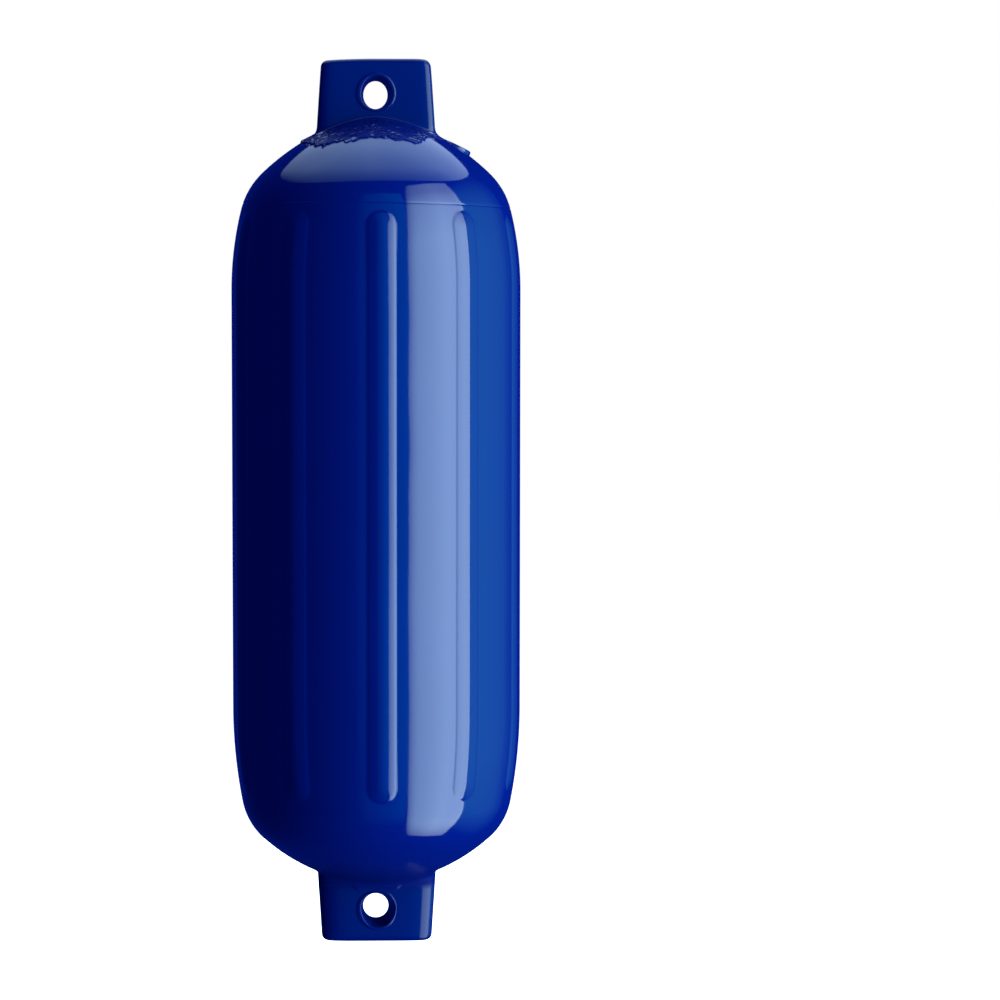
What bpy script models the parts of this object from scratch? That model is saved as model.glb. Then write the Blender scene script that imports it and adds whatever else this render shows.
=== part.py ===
# Builds an inflatable boat fender: a hollow moulded body with ten raised ribs and a solid lug with
# a rope eye at each end, and the valve in its upper shoulder, which a screw plug closes.
#
# Units are metres. +Z runs along the fender as it hangs, -Y is its front, and the origin is the
# middle of its whole length.

import math

import bmesh
import bpy
from mathutils import Matrix, Vector

# Whole fender
LENGTH = 0.6808
BARREL_RADIUS = 0.1116
BARREL_DRAFT = 0.0005  # the lower end of the barrel is this much smaller in radius
WALL = 0.0045
FIT_GAP = 0.0003  # between pieces that touch
JOIN_DEPTH = 0.0005  # how far a form that is moulded on reaches into the body at its edge

# Outline of the upper end: a side arc leaves the barrel, a shoulder arc follows it, and a crown
# arc runs on to the axis, where it still slopes a little. Turns and slopes are in degrees.
TOP_SIDE_ARC = 0.255
TOP_SIDE_TURN = 14.0
TOP_SHOULDER_ARC = 0.0583
TOP_SHOULDER_TURN = 32.1
TOP_CROWN_SLOPE = 12.7

# Outline of the lower end
LOW_SIDE_ARC = 0.390
LOW_SIDE_TURN = 11.0
LOW_SHOULDER_ARC = 0.0507
LOW_SHOULDER_TURN = 37.0
LOW_CROWN_SLOPE = 3.5

# Moulding line round the upper shoulder
SEAM_BELOW_TOP = 0.1135
SEAM_WIDTH = 0.0016
SEAM_DEPTH = 0.0004

# Ribs
RIB_COUNT = 10
RIB_PHASE = 2.1  # degrees from the front towards +X, of the first rib
RIB_WIDTH = 0.0205
RIB_HEIGHT = 0.0023
RIB_TOP_INSET = 0.1184  # from the top of the fender to the ribs' upper ends
RIB_LOW_INSET = 0.1159
RIB_RUNOUT = 0.014  # over which a rib's crest sinks into the body

# Lugs and their rope eyes
LUG_TIP_WIDTH = 0.0844
LUG_TAPER = 3.7  # degrees, each side
LUG_THICKNESS = 0.036
LUG_CORNER = 0.007  # corners of the lug's section
LUG_TIP_ROUND = 0.0045
TOP_LUG_HEIGHT = 0.0401  # above the crown of the upper dome
LOW_LUG_HEIGHT = 0.0432
TOP_LUG_FILLET = 0.003
LOW_LUG_FILLET = 0.009
TOP_EYE_INSET = 0.0277  # from the lug's tip to the middle of its eye
LOW_EYE_INSET = 0.0260
EYE_WIDTH = 0.0190
EYE_HEIGHT = 0.0205
EYE_RIM = 0.0255  # across the rounded mouth of the eye
EYE_LIP = 0.0080  # depth of that rounding

# Skin left round the root of the upper lug, with a torn edge
SKIN_HALF_WIDTH = 0.058
SKIN_HALF_DEPTH = 0.0515
SKIN_SQUARENESS = 3.5
SKIN_THICKNESS = 0.0009
SKIN_TEAR = 0.0012

# Valve: its axis leans from the fender's axis towards +X
VALVE_OFFSET = 0.0625  # from the fender's axis to the middle of the boss
VALVE_TILT = 26.0
VALVE_PROUD = 0.0012
BOSS_WALL = 0.00135
BOSS_ROUND = 0.0008
SLEEVE_WALL = 0.0035
SEAT_WALL = 0.0014
SEAT_THREAD_LENGTH = 0.0200
COLLAR_THICKNESS = 0.0030
COLLAR_STEP = 0.0010  # the collar is this much smaller in radius than the sleeve

# Screw plug
PLUG_HEAD_DIAMETER = 0.0160
PLUG_HEAD_LENGTH = 0.0110
PLUG_RECESS = 0.0010
PLUG_EDGE = 0.0008
PLUG_SHANK_DIAMETER = 0.0100
PLUG_SHANK_LENGTH = 0.0235
PLUG_CORE_DIAMETER = 0.0044
PLUG_CORE_DEPTH = 0.0140
PLUG_SLOT_WIDTH = 0.0020
PLUG_SLOT_LENGTH = 0.0120
PLUG_SLOT_DEPTH = 0.0030
HEAD_CLEARANCE = 0.00035
SHANK_CLEARANCE = 0.0003

# How finely round shapes are faceted
BODY_STEPS = 60
CAVITY_STEPS = 32
VALVE_STEPS = 32
ARC_STEP = 7.0  # degrees of outline between points
RIB_SPANS = 16
TUBE_RESOLUTION = 9
EYE_STEPS = 28
SKIN_STEPS = 80
CORNER_STEPS = 4
ROUND_STEPS = 3
CUT_MARGIN = 0.010  # how far a cutter runs past what it cuts
HAIR = 0.0001  # keeps a cutter's ring off the face that it meets

TOP_COLLECTION = "boat_fender"
CUTTER_COLLECTION = "fender_cutters"


def clear_scene():
    for obj in list(bpy.data.objects):
        bpy.data.objects.remove(obj, do_unlink=True)


def collection(name):
    made = bpy.data.collections.new(name)
    bpy.context.scene.collection.children.link(made)
    return made


def material(name, colour, roughness):
    made = bpy.data.materials.new(name)
    made.use_nodes = True
    shader = made.node_tree.nodes["Principled BSDF"]
    shader.inputs["Base Color"].default_value = (*colour, 1.0)
    shader.inputs["Roughness"].default_value = roughness
    shader.inputs["Metallic"].default_value = 0.0
    return made


def add_object(name, mesh, into):
    obj = bpy.data.objects.new(name, mesh)
    into.objects.link(obj)
    return obj


def hide_cutter(obj):
    obj.hide_render = True
    obj.display_type = "WIRE"
    return obj


def turned(name, profile, steps, into, closed=False):
    """A profile of (radius, height) points, listed down its outer side, turned round Z."""
    mesh = bpy.data.meshes.new(name)
    points = [(radius, 0.0, height) for radius, height in profile]
    edges = [(i, i + 1) for i in range(len(points) - 1)]
    if closed:
        edges.append((len(points) - 1, 0))
    mesh.from_pydata(points, edges, [])
    obj = add_object(name, mesh, into)
    screw = obj.modifiers.new("Turn", "SCREW")
    screw.axis = "Z"
    screw.angle = math.tau
    screw.steps = steps
    screw.render_steps = steps
    screw.use_merge_vertices = True
    screw.merge_threshold = 0.00001
    screw.use_smooth_shade = True
    return obj


def loft(name, rings, into):
    """A closed solid through rings of equal length, anticlockwise as seen from beyond the last one."""
    count = len(rings[0])
    points = [point for ring in rings for point in ring]
    faces = [tuple(reversed(range(count)))]
    for lower in range(len(rings) - 1):
        for i in range(count):
            j = (i + 1) % count
            a = lower * count
            faces.append((a + i, a + j, a + count + j, a + count + i))
    last = (len(rings) - 1) * count
    faces.append(tuple(range(last, last + count)))
    mesh = bpy.data.meshes.new(name)
    mesh.from_pydata(points, [], faces)
    mesh.shade_smooth()
    mesh.set_sharp_from_angle(angle=math.radians(40.0))
    return add_object(name, mesh, into)


def boolean(obj, other, operation):
    modifier = obj.modifiers.new(f"{operation} {other.name}", "BOOLEAN")
    modifier.operation = operation
    modifier.object = other
    modifier.solver = "EXACT"


def arc_points(start, radius, slope_from, slope_to):
    """Points (radius, height, slope) after start on an arc that turns between two slopes, in degrees."""
    count = max(1, math.ceil((slope_from - slope_to) / ARC_STEP))
    first = math.radians(slope_from)
    points = []
    for i in range(1, count + 1):
        slope = math.radians(slope_from + (slope_to - slope_from) * i / count)
        across = start[0] - radius * (math.sin(first) - math.sin(slope))
        up = start[1] + radius * (math.cos(slope) - math.cos(first))
        points.append((across, up, slope))
    return points


def end_outline(barrel, side_arc, side_turn, shoulder_arc, shoulder_turn, crown_slope, crown):
    """Points (radius, height, slope) of one end, from the barrel to the axis, where its height is crown."""
    shoulder_from = 90.0 - side_turn
    crown_from = shoulder_from - shoulder_turn
    points = [(barrel, 0.0, math.radians(90.0))]
    points += arc_points(points[-1], side_arc, 90.0, shoulder_from)
    points += arc_points(points[-1], shoulder_arc, shoulder_from, crown_from)
    sines = math.sin(math.radians(crown_from)) - math.sin(math.radians(crown_slope))
    points += arc_points(points[-1], points[-1][0] / sines, crown_from, crown_slope)
    lift = crown - points[-1][1]
    return [(across, up + lift, slope) for across, up, slope in points]


def top_crown():
    return LENGTH / 2 - TOP_LUG_HEIGHT


def low_crown():
    return LENGTH / 2 - LOW_LUG_HEIGHT


def top_outline():
    return end_outline(
        BARREL_RADIUS, TOP_SIDE_ARC, TOP_SIDE_TURN, TOP_SHOULDER_ARC, TOP_SHOULDER_TURN,
        TOP_CROWN_SLOPE, top_crown(),
    )


def low_outline():
    return end_outline(
        BARREL_RADIUS - BARREL_DRAFT, LOW_SIDE_ARC, LOW_SIDE_TURN, LOW_SHOULDER_ARC,
        LOW_SHOULDER_TURN, LOW_CROWN_SLOPE, low_crown(),
    )


def whole_outline():
    """Points (radius, height, normal) of the body, from the upper crown down to the lower one."""
    upper = [(r, z, (math.sin(s), math.cos(s))) for r, z, s in reversed(top_outline())]
    lower = [(r, -z, (math.sin(s), -math.cos(s))) for r, z, s in low_outline()]
    return upper + lower


def surface_at(height):
    """The body's radius and its normal at a height."""
    points = whole_outline()
    for above, below in zip(points, points[1:]):
        if above[1] >= height >= below[1]:
            t = (above[1] - height) / (above[1] - below[1])
            radius = above[0] + (below[0] - above[0]) * t
            normal = Vector(above[2]).lerp(Vector(below[2]), t).normalized()
            return radius, normal
    return points[-1][0], Vector(points[-1][2])


def dome_height(outline, radius):
    """The height of one end's dome at a distance from the axis."""
    for outer, inner in zip(outline, outline[1:]):
        if outer[0] >= radius >= inner[0]:
            t = (outer[0] - radius) / (outer[0] - inner[0])
            return outer[1] + (inner[1] - outer[1]) * t
    return outline[0][1]


def body_profile():
    """The outer outline with the shallow moulding line let into its upper shoulder."""
    seam = LENGTH / 2 - SEAM_BELOW_TOP
    half = SEAM_WIDTH / 2
    profile = [(r, z) for r, z, _ in whole_outline() if abs(z - seam) > SEAM_WIDTH]
    for height, depth in ((seam + half, 0.0), (seam, SEAM_DEPTH), (seam - half, 0.0)):
        profile.append((surface_at(height)[0] - depth, height))
    return sorted(profile, key=lambda point: -point[1])


def cavity_profile():
    """The outline moved in by the wall, closed on the axis at both ends."""
    inner = [(r - WALL * n[0], z - WALL * n[1]) for r, z, n in whole_outline()]
    inner = [point for point in inner if point[0] > WALL]
    return [(0.0, inner[0][1])] + inner + [(0.0, inner[-1][1])]


def rib_path():
    """Middle of a rib's round section at points down the front of the body, close together at its ends."""
    round_radius = (RIB_WIDTH**2 / 4 + RIB_HEIGHT**2) / (2 * RIB_HEIGHT)
    top = LENGTH / 2 - RIB_TOP_INSET
    bottom = -LENGTH / 2 + RIB_LOW_INSET
    path = []
    for i in range(RIB_SPANS + 1):
        share = (1.0 - math.cos(math.pi * i / RIB_SPANS)) / 2
        height = top - (top - bottom) * share
        from_end = min((top - bottom) * min(share, 1.0 - share) / RIB_RUNOUT, 1.0)
        crest = RIB_HEIGHT * math.sqrt(1.0 - (1.0 - from_end) ** 2)
        if i in (0, RIB_SPANS):
            crest = -JOIN_DEPTH
        radius, normal = surface_at(height)
        depth = round_radius - crest
        path.append((0.0, -(radius - depth * normal[0]), height - depth * normal[1]))
    return path, round_radius


def rib_mesh(into):
    """One rib: a tube that follows the body, made a closed mesh."""
    path, round_radius = rib_path()
    curve = bpy.data.curves.new("rib_curve", "CURVE")
    curve.dimensions = "3D"
    curve.bevel_depth = round_radius
    curve.bevel_resolution = TUBE_RESOLUTION
    curve.use_fill_caps = True
    spline = curve.splines.new("POLY")
    spline.points.add(len(path) - 1)
    for point, place in zip(spline.points, path):
        point.co = (*place, 1.0)
    obj = add_object("rib_curve", curve, into)
    graph = bpy.context.evaluated_depsgraph_get()
    mesh = bpy.data.meshes.new_from_object(obj.evaluated_get(graph))
    bpy.data.objects.remove(obj, do_unlink=True)
    made = bmesh.new()
    made.from_mesh(mesh)
    bmesh.ops.remove_doubles(made, verts=made.verts, dist=0.00001)
    bmesh.ops.recalc_face_normals(made, faces=made.faces)
    made.to_mesh(mesh)
    made.free()
    return mesh


def ribs(into):
    """All the ribs, at even turns round the body."""
    one = rib_mesh(into)
    made = bmesh.new()
    for i in range(RIB_COUNT):
        before = len(made.verts)
        made.from_mesh(one)
        made.verts.ensure_lookup_table()
        turn = Matrix.Rotation(math.radians(RIB_PHASE) + math.tau * i / RIB_COUNT, 4, "Z")
        bmesh.ops.transform(made, matrix=turn, verts=made.verts[before:])
    mesh = bpy.data.meshes.new("ribs")
    made.to_mesh(mesh)
    made.free()
    return hide_cutter(add_object("ribs", mesh, into))


def rounded_rectangle(half_width, half_depth, corner):
    """Points (x, y, outward x, outward y) anticlockwise round a rectangle with round corners."""
    points = []
    for quarter in range(4):
        sign_x = 1 if quarter in (0, 3) else -1
        sign_y = 1 if quarter in (0, 1) else -1
        centre_x = sign_x * (half_width - corner)
        centre_y = sign_y * (half_depth - corner)
        for i in range(CORNER_STEPS + 1):
            angle = math.pi / 2 * (quarter + i / CORNER_STEPS)
            out_x, out_y = math.cos(angle), math.sin(angle)
            points.append((centre_x + corner * out_x, centre_y + corner * out_y, out_x, out_y))
    return points


def lug_half_width(below_tip):
    return LUG_TIP_WIDTH / 2 + below_tip * math.tan(math.radians(LUG_TAPER))


def lug(name, outline, crown, height, fillet, into):
    """A tapered block on one dome: a foot inside the dome, a fillet, the walls and a rounded tip."""
    tip = crown + height

    def wall(below_tip, inset=0.0):
        corner = max(LUG_CORNER - inset, LUG_CORNER / 4)
        return rounded_rectangle(lug_half_width(below_tip) - inset, LUG_THICKNESS / 2 - inset, corner)

    root_radius = lug_half_width(height)
    foot = dome_height(outline, root_radius + fillet) - WALL
    rings = [[(x, y, foot) for x, y, _, _ in wall(height)]]
    for i in range(ROUND_STEPS + 1):
        angle = math.pi / 2 * i / ROUND_STEPS
        out = fillet * (1.0 - math.sin(angle))
        up = fillet * (1.0 - math.cos(angle)) - (JOIN_DEPTH if i == 0 else 0.0)
        ring = []
        for x, y, out_x, out_y in wall(height):
            place = (x + out * out_x, y + out * out_y)
            ring.append((*place, dome_height(outline, math.hypot(*place)) + up))
        rings.append(ring)
    for i in range(ROUND_STEPS + 1):
        angle = math.pi / 2 * i / ROUND_STEPS
        inset = LUG_TIP_ROUND * (1.0 - math.cos(angle))
        below = LUG_TIP_ROUND * (1.0 - math.sin(angle))
        rings.append([(x, y, tip - below) for x, y, _, _ in wall(below, inset)])
    return hide_cutter(loft(name, rings, into))


def eye_cutter(name, height, into):
    """What a rope eye takes out of its lug: an oval waist that opens to a round mouth on each face."""
    face = LUG_THICKNESS / 2 + HAIR
    sections = [(-face - CUT_MARGIN, 1.0)]
    for i in range(ROUND_STEPS + 1):
        angle = math.pi / 2 * i / ROUND_STEPS
        sections.append((-face + EYE_LIP * (1.0 - math.cos(angle)), 1.0 - math.sin(angle)))
    sections += [(-depth, flare) for depth, flare in reversed(sections)]
    rings = []
    for depth, flare in sections:
        half_width = (EYE_WIDTH + (EYE_RIM - EYE_WIDTH) * flare) / 2
        half_height = (EYE_HEIGHT + (EYE_RIM - EYE_HEIGHT) * flare) / 2
        ring = []
        for i in range(EYE_STEPS):
            angle = math.tau * i / EYE_STEPS
            ring.append((half_width * math.sin(angle), depth, height + half_height * math.cos(angle)))
        rings.append(ring)
    return hide_cutter(loft(name, rings, into))


def skin_radius(angle):
    """Distance from the axis to the torn edge at an angle from +X: a squarish oval with uneven waves."""
    power = SKIN_SQUARENESS
    across = abs(math.cos(angle) / SKIN_HALF_WIDTH) ** power
    along = abs(math.sin(angle) / SKIN_HALF_DEPTH) ** power
    oval = (across + along) ** (-1.0 / power)
    tear = math.sin(11 * angle + 0.6) + 0.7 * math.sin(19 * angle + 2.1) + 0.5 * math.sin(29 * angle)
    return oval + SKIN_TEAR * tear


def torn_skin(into):
    """The thin skin that lies on the upper dome round the root of the lug."""
    reach = max(SKIN_HALF_WIDTH, SKIN_HALF_DEPTH) * math.sqrt(2.0)
    dome = [(r, z) for r, z, _ in reversed(top_outline()) if r < reach]
    lifted = [(r, z + SKIN_THICKNESS) for r, z in dome]
    inside = dome[-1][1] - WALL
    shell = turned("torn_skin", lifted + [(dome[-1][0], inside), (0.0, inside)], BODY_STEPS, into)
    rings = []
    for height in (inside - CUT_MARGIN, top_crown() + CUT_MARGIN):
        ring = []
        for i in range(SKIN_STEPS):
            angle = math.tau * i / SKIN_STEPS
            radius = skin_radius(angle)
            ring.append((radius * math.cos(angle), radius * math.sin(angle), height))
        rings.append(ring)
    boolean(shell, hide_cutter(loft("torn_edge", rings, into)), "INTERSECT")
    return hide_cutter(shell)


def valve_matrix():
    """Where the valve sits: its origin is the middle of the boss's face, and its Z leaves the fender."""
    axis = Vector((math.sin(math.radians(VALVE_TILT)), 0.0, math.cos(math.radians(VALVE_TILT))))
    foot = Vector((VALVE_OFFSET, 0.0, dome_height(top_outline(), VALVE_OFFSET)))
    return Matrix.Translation(foot + axis * VALVE_PROUD) @ Matrix.Rotation(math.radians(VALVE_TILT), 4, "Y")


def counterbore_radius():
    return PLUG_HEAD_DIAMETER / 2 + HEAD_CLEARANCE


def seat_radius():
    return counterbore_radius() + SEAT_WALL


def pocket_radius():
    return seat_radius() + FIT_GAP


def sleeve_radius():
    return pocket_radius() + SLEEVE_WALL


def seat_length():
    return PLUG_RECESS + PLUG_HEAD_LENGTH + FIT_GAP + SEAT_THREAD_LENGTH


def sleeve_length():
    return seat_length() - COLLAR_THICKNESS - FIT_GAP


def place_in_valve(obj):
    obj.matrix_world = valve_matrix()
    return obj


def boss(into):
    """The boss on the shoulder and the thick sleeve that it carries inside the body."""
    face = pocket_radius() + BOSS_WALL
    profile = [
        (0.0, 0.0),
        (face - BOSS_ROUND, 0.0),
        (face, -BOSS_ROUND),
        (sleeve_radius(), -WALL),
        (sleeve_radius(), -sleeve_length()),
        (0.0, -sleeve_length()),
    ]
    return hide_cutter(place_in_valve(turned("boss", profile, VALVE_STEPS, into)))


def valve_pocket(into):
    """The hole for the valve seat, which opens the hollow body."""
    radius = pocket_radius()
    ends = (CUT_MARGIN, -sleeve_length() - CUT_MARGIN)
    profile = [(0.0, ends[0]), (radius, ends[0]), (radius, ends[1]), (0.0, ends[1])]
    return hide_cutter(place_in_valve(turned("valve_pocket", profile, VALVE_STEPS, into)))


def fender_body(into, cutters, vinyl):
    body = turned("fender_body", body_profile(), BODY_STEPS, into)
    body.data.materials.append(vinyl)
    upper_lug = lug("upper_lug", top_outline(), top_crown(), TOP_LUG_HEIGHT, TOP_LUG_FILLET, cutters)
    lower_lug = lug("lower_lug", low_outline(), low_crown(), LOW_LUG_HEIGHT, LOW_LUG_FILLET, cutters)
    lower_lug.rotation_euler = (math.pi, 0.0, 0.0)
    boolean(body, ribs(cutters), "UNION")
    boolean(body, torn_skin(cutters), "UNION")
    boolean(body, upper_lug, "UNION")
    boolean(body, lower_lug, "UNION")
    boolean(body, hide_cutter(turned("cavity", cavity_profile(), CAVITY_STEPS, cutters)), "DIFFERENCE")
    boolean(body, boss(cutters), "UNION")
    boolean(body, valve_pocket(cutters), "DIFFERENCE")
    boolean(body, eye_cutter("upper_eye", LENGTH / 2 - TOP_EYE_INSET, cutters), "DIFFERENCE")
    boolean(body, eye_cutter("lower_eye", LOW_EYE_INSET - LENGTH / 2, cutters), "DIFFERENCE")
    return body


def valve_seat(into, vinyl):
    """The bush in the boss: a recess for the plug's head, the bore and a collar inside the body."""
    head_floor = -(PLUG_RECESS + PLUG_HEAD_LENGTH + FIT_GAP)
    bore = PLUG_SHANK_DIAMETER / 2 + SHANK_CLEARANCE
    collar = sleeve_radius() - COLLAR_STEP
    collar_top = COLLAR_THICKNESS - seat_length()
    profile = [
        (counterbore_radius(), 0.0),
        (seat_radius(), 0.0),
        (seat_radius(), collar_top),
        (collar, collar_top),
        (collar, -seat_length()),
        (bore, -seat_length()),
        (bore, head_floor),
        (counterbore_radius(), head_floor),
    ]
    seat = place_in_valve(turned("valve_seat", profile, VALVE_STEPS, into, closed=True))
    seat.data.materials.append(vinyl)
    return seat


def valve_plug(into, cutters, plastic):
    """The screw plug: a round head with a slot, and a shank with a blind core hole in its end."""
    head = PLUG_HEAD_DIAMETER / 2
    shank = PLUG_SHANK_DIAMETER / 2
    core = PLUG_CORE_DIAMETER / 2
    top = -PLUG_RECESS
    shoulder = top - PLUG_HEAD_LENGTH
    end = shoulder - PLUG_SHANK_LENGTH
    profile = [
        (0.0, top),
        (head - PLUG_EDGE, top),
        (head, top - PLUG_EDGE),
        (head, shoulder + PLUG_EDGE),
        (head - PLUG_EDGE, shoulder),
        (shank, shoulder),
        (shank, end + PLUG_EDGE),
        (shank - PLUG_EDGE, end),
        (core, end),
        (core, end + PLUG_CORE_DEPTH - core),
        (0.0, end + PLUG_CORE_DEPTH),
    ]
    plug = place_in_valve(turned("valve_plug", profile, VALVE_STEPS, into))
    plug.data.materials.append(plastic)
    bpy.ops.mesh.primitive_cube_add(size=1.0)
    slot = bpy.context.object
    slot.name = "plug_slot"
    for user in list(slot.users_collection):
        user.objects.unlink(slot)
    cutters.objects.link(slot)
    height = PLUG_SLOT_DEPTH + CUT_MARGIN
    shape = Matrix.Diagonal((PLUG_SLOT_LENGTH, PLUG_SLOT_WIDTH, height, 1.0))
    slot.data.transform(Matrix.Translation((0.0, 0.0, top - PLUG_SLOT_DEPTH + height / 2)) @ shape)
    boolean(plug, hide_cutter(place_in_valve(slot)), "DIFFERENCE")
    return plug


def main():
    clear_scene()
    parts = collection(TOP_COLLECTION)
    cutters = collection(CUTTER_COLLECTION)
    vinyl = material("blue_vinyl", (0.001, 0.010, 0.190), 0.12)
    plastic = material("blue_plug_plastic", (0.001, 0.050, 0.420), 0.35)
    fender_body(parts, cutters, vinyl)
    valve_seat(parts, vinyl)
    valve_plug(parts, cutters, plastic)


main()
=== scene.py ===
import math

import bpy
import numpy as np
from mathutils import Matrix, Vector


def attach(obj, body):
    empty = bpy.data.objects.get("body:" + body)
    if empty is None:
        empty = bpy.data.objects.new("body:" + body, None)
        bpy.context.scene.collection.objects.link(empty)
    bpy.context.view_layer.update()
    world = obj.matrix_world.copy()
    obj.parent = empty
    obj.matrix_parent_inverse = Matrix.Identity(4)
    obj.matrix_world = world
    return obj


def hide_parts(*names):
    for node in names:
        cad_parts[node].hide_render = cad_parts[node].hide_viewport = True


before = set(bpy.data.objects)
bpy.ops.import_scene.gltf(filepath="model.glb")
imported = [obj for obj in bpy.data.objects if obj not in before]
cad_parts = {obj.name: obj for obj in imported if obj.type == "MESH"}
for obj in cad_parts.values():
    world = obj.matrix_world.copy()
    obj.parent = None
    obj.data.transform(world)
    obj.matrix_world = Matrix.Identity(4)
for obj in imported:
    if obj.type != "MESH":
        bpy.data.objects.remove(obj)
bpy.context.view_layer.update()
print("frame loaded")

toMetres = 0.001  # every shape below is worked out in millimetres


# 0 below low, 1 above high, and 3t^2 - 2t^3 between them
def easeBetween(low, high, value):
    t = np.clip((value - low) / (high - low), 0.0, 1.0)
    return t * t * (3.0 - 2.0 * t)


# The value at a share of the way from one to another
def between(one, other, share):
    return one + (other - one) * share


# The ends of even steps from 0 to 1
def shares(count):
    return np.linspace(0.0, 1.0, count + 1)[1:]


# Uneven ripples about 0: many sine waves of about one length, each with its own heading, added up
# and scaled by the root of two over their number
def ripples(x, y, length, seed, waves=14):
    draw = np.random.default_rng(seed)
    heading = draw.uniform(0.0, math.tau, waves)
    pace = math.tau / (length * draw.uniform(0.7, 1.4, waves))
    start = draw.uniform(0.0, math.tau, waves)
    total = np.zeros(np.broadcast(x, y).shape)
    for k in range(waves):
        total += np.sin(pace[k] * (x * math.cos(heading[k]) + y * math.sin(heading[k])) + start[k])
    return total * math.sqrt(2.0 / waves)


# Quads between the rows of a grid whose columns close into rings. Rows run down and columns run
# right as seen from outside.
def gridQuads(rows, columns, first=0):
    r = np.arange(rows - 1)[:, None] * columns
    c = np.arange(columns)[None, :]
    right = (c + 1) % columns
    quads = np.stack([r + c, r + columns + c, r + columns + right, r + right], axis=-1)
    return first + quads


# Triangles from a ring of neighbouring points to one middle point
def fan(ring, middle, inward=False):
    ahead = np.roll(ring, -1)
    middles = np.full(len(ring), middle)
    return np.stack([ahead, ring, middles] if inward else [ring, ahead, middles], axis=-1)


# Puts points in millimetres and faces into a mesh, joining the points that lie in one place
def addPiece(name, points, quads, triangles, material, smoothAngle=None, places=None, gloss=None):
    points = np.asarray(points, float).reshape(-1, 3)
    _, first, number = np.unique(np.round(points, 5), axis=0, return_index=True, return_inverse=True)
    number = number.reshape(-1)
    quads = number[np.asarray(quads, int).reshape(-1, 4)]
    triangles = number[np.asarray(triangles, int).reshape(-1, 3)]
    mesh = bpy.data.meshes.new(name)
    mesh.vertices.add(len(first))
    mesh.vertices.foreach_set("co", (points[first] * toMetres).astype(np.float32).ravel())
    mesh.loops.add(quads.size + triangles.size)
    corners = np.concatenate([quads.ravel(), triangles.ravel()])
    mesh.loops.foreach_set("vertex_index", corners.astype(np.int32))
    mesh.polygons.add(len(quads) + len(triangles))
    starts = np.concatenate([np.arange(len(quads)) * 4, quads.size + np.arange(len(triangles)) * 3])
    mesh.polygons.foreach_set("loop_start", starts.astype(np.int32))
    if gloss is not None:
        attribute = mesh.attributes.new("tornPlace", "FLOAT_VECTOR", "POINT")
        attribute.data.foreach_set("vector", places[first].astype(np.float32).ravel())
        attribute = mesh.attributes.new("glossChange", "FLOAT", "POINT")
        attribute.data.foreach_set("value", gloss[first].astype(np.float32))
    mesh.update(calc_edges=True)
    mesh.validate()
    mesh.shade_smooth()
    if smoothAngle is not None:
        mesh.set_sharp_from_angle(angle=math.radians(smoothAngle))
    mesh.materials.append(material)
    piece = bpy.data.objects.new(name, mesh)
    bpy.context.scene.collection.objects.link(piece)
    print(name, len(quads) * 2 + len(triangles), "triangles")
    return piece


# The fender skin. Azimuth 0 is the front and 90 the side of the valve. Lengths are in millimetres.
skin = {
    "columns": 320,
    "barrelRadius": (111.6, 111.1),  # at the upper and at the lower end
    "crown": (300.3, 297.2),  # height of each dome on the axis, from the middle of the fender
    # side radius and turn, shoulder radius and turn, slope of the crown
    "topArcs": (255.0, 14.0, 58.3, 32.1, 12.7),
    "lowArcs": (390.0, 11.0, 50.7, 37.0, 3.5),
    "ribCount": 10,
    "ribPhase": 2.1,
    "ribEnds": (222.0, -224.5),
    "ribSlopes": (  # slope in degrees at distances from a rib's middle line: a low roof with steep edges
        (0.0, 0.0), (3.0, 8.2), (8.9, 9.4), (9.8, 20.0), (10.5, 20.0), (11.5, 0.0),
    ),
    "ribColumns": (0, 1.7, 3.4, 5.6, 7.6, 8.9, 9.4, 9.9, 10.4, 10.9, 11.4, 13.4, 17.2, 21.6, 26.2, 30.7),
    "bends": (163.6, -156.8),  # heights where the barrel begins to draw in
    "seamHeight": 226.9,
    "seamTilt": 2.0,
    "seamTurn": 20.0,  # azimuth where the seam keeps its height
    "seamBlend": (1.6, 7.0),  # distances over which the rows beside the seam give up its tilt
    "seamDepth": 0.22,
    "seamWidth": 0.55,
    "rootGloss": -0.9,  # change of gloss round the root of the lower lug
    "rootDull": (-301.0, -295.0, -286.0, -262.0),  # heights where it begins, is full and ends
    "meetRadius": (84.0, 88.0),  # where the rows round the lugs have become level circles
}

upperLug = {
    "tip": 340.4,
    "tipHalfWidth": 42.1,
    "halfThickness": 18.0,
    "taper": 3.7,
    "squareness": 9.5,
    "round": 4.5,
    "tipDrop": (1.5, 1.8),  # the tip's left side and its right corner lie this much lower
    "filletUp": (2.0, 5.5),  # height of the fillet at the root, in front and at the sides
    "filletOut": (2.2, 3.2),
    "eyePlace": (-0.4, 313.3),
    "eyeWaist": (9.3, 10.7, 10.7),  # half width, and half height towards the tip and towards the dome
    "eyeMouth": (11.9, 14.0, 12.6),
    "eyeShift": 0.9,  # the front mouth lies this far to the right and the back one to the left
    "eyeFoot": (15.9, 16.6, 13.9),  # where the collar round the mouth begins
    "eyeCrest": 2.3,  # from the mouth out to the collar's crest
    "eyeCollar": 0.60,
    "eyeFall": 0.12,  # from the crest to the mouth
    "eyeEdge": 0.45,
    "eyeColumns": 26,  # half the columns of the block that the eye is cut from
    "eyeRows": (1, 27),  # the rows of that block, from the end of the tip's rows
    "tipScales": (0.3, 0.6, 0.86),  # the small rings that close the tip
    "roundRows": 7,
    "wallRows": 28,
    "filletRows": 9,
}

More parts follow.
